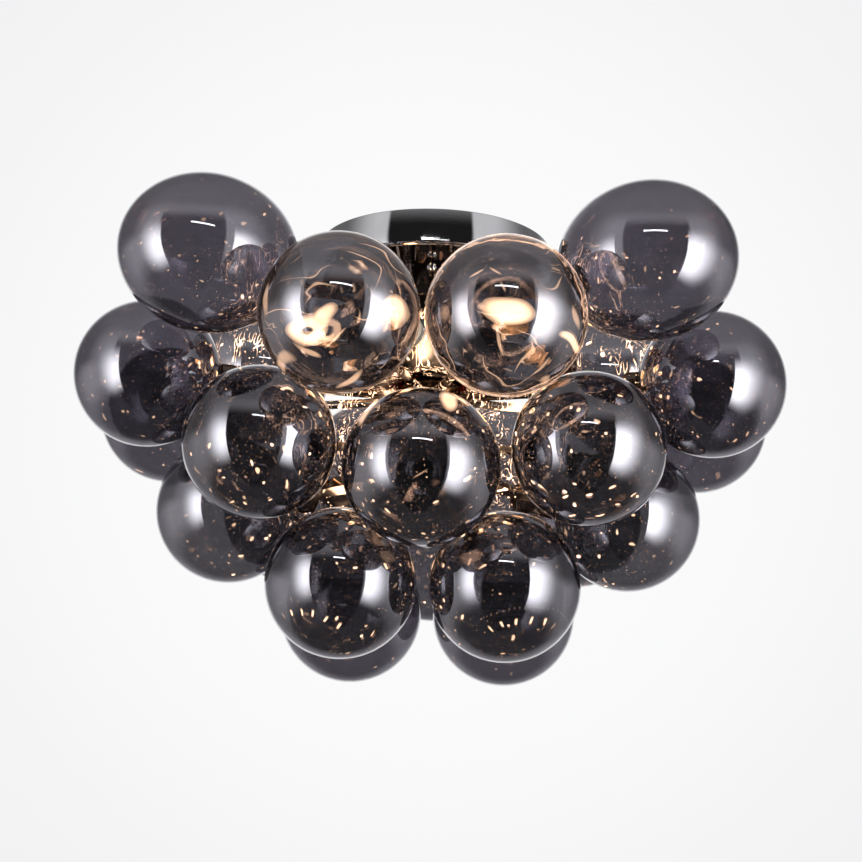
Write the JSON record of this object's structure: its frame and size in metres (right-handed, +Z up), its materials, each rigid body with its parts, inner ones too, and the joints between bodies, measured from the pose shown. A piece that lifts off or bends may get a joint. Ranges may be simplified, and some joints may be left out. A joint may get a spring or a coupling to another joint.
{
  "type": "bubble chandelier",
  "caption": "Close-to-ceiling chandelier: staggered rings of smoked, half-mirrored glass globes on chrome arms round a central lamp drum under a round canopy.",
  "frame": {"origin": "middle of the ceiling strap's top face, which lies on the ceiling", "axes": "+Z up into the ceiling; -Y towards the front of the picture, +X to its right"},
  "size_m": [0.4788, 0.4788, 0.3019],
  "materials": {
    "smoked_glass": "smoked blown glass with a half-mirrored coat, glossy",
    "chrome": "polished chrome",
    "lamp_glass": "frosted capsule lamp, warm",
    "ceramic": "white ceramic",
    "plated_steel": "zinc-plated steel",
    "terminal_plastic": "white moulded plastic",
    "rubber": "black rubber"
  },
  "bodies": {
    "fixture": {"bottom_arm_hub": "chrome", "canopy": "chrome", "ceiling_strap": "plated_steel", "globe_bottom_1": "smoked_glass", "globe_bottom_2": "smoked_glass", "globe_bottom_3": "smoked_glass", "globe_bottom_4": "smoked_glass", "globe_middle_1": "smoked_glass", "globe_middle_2": "smoked_glass", "globe_middle_3": "smoked_glass", "globe_middle_4": "smoked_glass", "globe_raised_1": "smoked_glass", "globe_raised_2": "smoked_glass", "globe_raised_3": "smoked_glass", "globe_raised_4": "smoked_glass", "globe_top_1": "smoked_glass", "globe_top_2": "smoked_glass", "globe_top_3": "smoked_glass", "globe_top_4": "smoked_glass", "globe_upper_1": "smoked_glass", "globe_upper_2": "smoked_glass", "globe_upper_3": "smoked_glass", "globe_upper_4": "smoked_glass", "globe_upper_5": "smoked_glass", "globe_upper_6": "smoked_glass", "globe_upper_7": "smoked_glass", "globe_upper_8": "smoked_glass", "lamp_drum": "chrome", "lamp_holder_1": "ceramic", "lamp_holder_2": "ceramic", "lamp_holder_3": "ceramic", "lamp_holder_4": "ceramic", "lamp_holder_5": "ceramic", "lamp_holder_6": "ceramic", "middle_arm_hub": "chrome", "raised_arm_hub": "chrome", "side_screw_1": "chrome", "side_screw_2": "chrome", "stem": "plated_steel", "stem_nut": "plated_steel", "terminal_block": "terminal_plastic", "top_arm_ring": "chrome", "upper_arm_hub": "chrome", "wire_grommet": "rubber"},
    "lamp_1_body": {"lamp_1": "lamp_glass"},
    "lamp_2_body": {"lamp_2": "lamp_glass"},
    "lamp_3_body": {"lamp_3": "lamp_glass"},
    "lamp_4_body": {"lamp_4": "lamp_glass"},
    "lamp_5_body": {"lamp_5": "lamp_glass"},
    "lamp_6_body": {"lamp_6": "lamp_glass"},
    "drum_screw_1_body": {"drum_screw_1": "chrome"},
    "drum_screw_2_body": {"drum_screw_2": "chrome"},
    "drum_screw_3_body": {"drum_screw_3": "chrome"},
    "drum_screw_4_body": {"drum_screw_4": "chrome"},
    "finial_body": {"finial": "chrome"}
  },
  "joints": [
    {"name": "lamp_1_slide", "type": "slide", "parent": "fixture", "child": "lamp_1_body", "axis": [-0.309, -0.9511, 0], "range_m": [0, 0.012]},
    {"name": "lamp_2_slide", "type": "slide", "parent": "fixture", "child": "lamp_2_body", "axis": [0.6691, -0.7431, 0], "range_m": [0, 0.012]},
    {"name": "lamp_3_slide", "type": "slide", "parent": "fixture", "child": "lamp_3_body", "axis": [0.9781, 0.2079, 0], "range_m": [0, 0.012]},
    {"name": "lamp_4_slide", "type": "slide", "parent": "fixture", "child": "lamp_4_body", "axis": [0.309, 0.9511, 0], "range_m": [0, 0.012]},
    {"name": "lamp_5_slide", "type": "slide", "parent": "fixture", "child": "lamp_5_body", "axis": [-0.6691, 0.7431, 0], "range_m": [0, 0.012]},
    {"name": "lamp_6_slide", "type": "slide", "parent": "fixture", "child": "lamp_6_body", "axis": [-0.9781, -0.2079, 0], "range_m": [0, 0.012]},
    {"name": "drum_screw_1_turn", "type": "hinge", "parent": "fixture", "child": "drum_screw_1_body", "pos_m": [0, -0.0465, -0.03125], "axis": [0, -1, 0], "continuous": true},
    {"name": "drum_screw_2_turn", "type": "hinge", "parent": "fixture", "child": "drum_screw_2_body", "pos_m": [0.0465, 0, -0.03125], "axis": [1, 0, 0], "continuous": true},
    {"name": "drum_screw_3_turn", "type": "hinge", "parent": "fixture", "child": "drum_screw_3_body", "pos_m": [0, 0.0465, -0.03125], "axis": [0, 1, 0], "continuous": true},
    {"name": "drum_screw_4_turn", "type": "hinge", "parent": "fixture", "child": "drum_screw_4_body", "pos_m": [-0.0465, 0, -0.03125], "axis": [-1, 0, 0], "continuous": true},
    {"name": "finial_turn", "type": "hinge", "parent": "fixture", "child": "finial_body", "pos_m": [0, 0, -0.2053], "axis": [0, 0, 1], "continuous": true}
  ]
}
